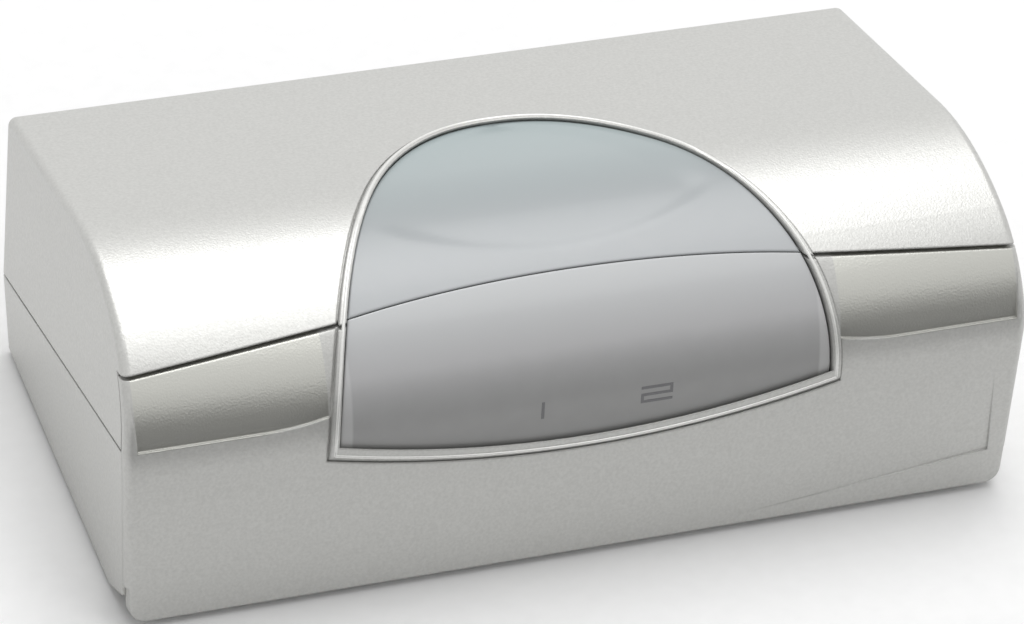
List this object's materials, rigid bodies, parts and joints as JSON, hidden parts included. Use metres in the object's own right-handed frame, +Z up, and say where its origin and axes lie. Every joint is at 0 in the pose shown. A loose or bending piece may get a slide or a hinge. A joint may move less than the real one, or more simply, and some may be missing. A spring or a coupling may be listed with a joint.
{
  "type": "video_switch",
  "caption": "Small silver desktop video switch with a rolled front, an arched push cap over a lit window, and rear video sockets.",
  "frame": {"origin": "bottom centre of the whole part's box, on the plane its rubber feet stand on", "axes": "+X along the width to the right seen from the front, +Y towards the rear sockets, +Z up"},
  "size_m": [0.13, 0.07, 0.0447],
  "materials": {
    "silver_paint": "satin",
    "cap_plastic": "gloss",
    "window_plastic": "gloss",
    "numeral_ink": "matte",
    "foot_rubber": "matte",
    "white_plastic": "matte",
    "black_plastic": "matte",
    "lamp_plastic": "gloss",
    "tinned_metal": "satin",
    "plated_steel": "satin",
    "rear_steel": "satin",
    "board_laminate": "satin",
    "chip_resin": "matte",
    "can_aluminium": "satin",
    "socket_blue": "matte",
    "gold_plate": "polished"
  },
  "bodies": {
    "case": {"top_cover": "silver_paint", "base_shell": "silver_paint", "front_panel": "silver_paint", "status_window": "window_plastic", "port_numerals": "numeral_ink", "rubber_feet": "foot_rubber", "tact_switch_body": "black_plastic", "indicator_1": "lamp_plastic", "indicator_2": "lamp_plastic", "indicator_leads": "tinned_metal", "light_baffle": "black_plastic", "jack_posts": "plated_steel", "rear_plate": "rear_steel", "dc_jack_housing": "black_plastic", "dc_jack_pin": "tinned_metal", "dc_jack_contact": "tinned_metal", "main_board": "board_laminate", "video_switch_chip": "chip_resin", "buffer_chips": "chip_resin", "voltage_regulator": "chip_resin", "electrolytic_capacitors": "can_aluminium", "chip_resistors": "chip_resin", "case_screws": "plated_steel", "board_screws": "plated_steel", "panel_screws": "plated_steel", "input_1_shell": "plated_steel", "input_1_insulator": "socket_blue", "input_1_contacts": "gold_plate", "input_2_shell": "plated_steel", "input_2_insulator": "socket_blue", "input_2_contacts": "gold_plate", "output_shell": "plated_steel", "output_insulator": "socket_blue", "output_contacts": "gold_plate"},
    "select": {"select_cap": "cap_plastic", "cap_carrier": "white_plastic"},
    "plunger": {"tact_plunger": "black_plastic"}
  },
  "joints": [
    {"name": "cap_press", "type": "hinge", "parent": "case", "child": "select", "pos_m": [0, 0.01415, 0.03317], "axis": [1, 0, 0], "range_deg": [0, 1.1], "stiffness_Nm_per_rad": 0.5, "springref_deg": -2.86},
    {"name": "switch_stroke", "type": "slide", "parent": "case", "child": "plunger", "axis": [0, -0.2588, -0.9659], "range_m": [0, 0.00052]}
  ],
  "couplings": [
    {"joint": "switch_stroke", "follows": "cap_press", "m_per_rad": 0.026}
  ]
}
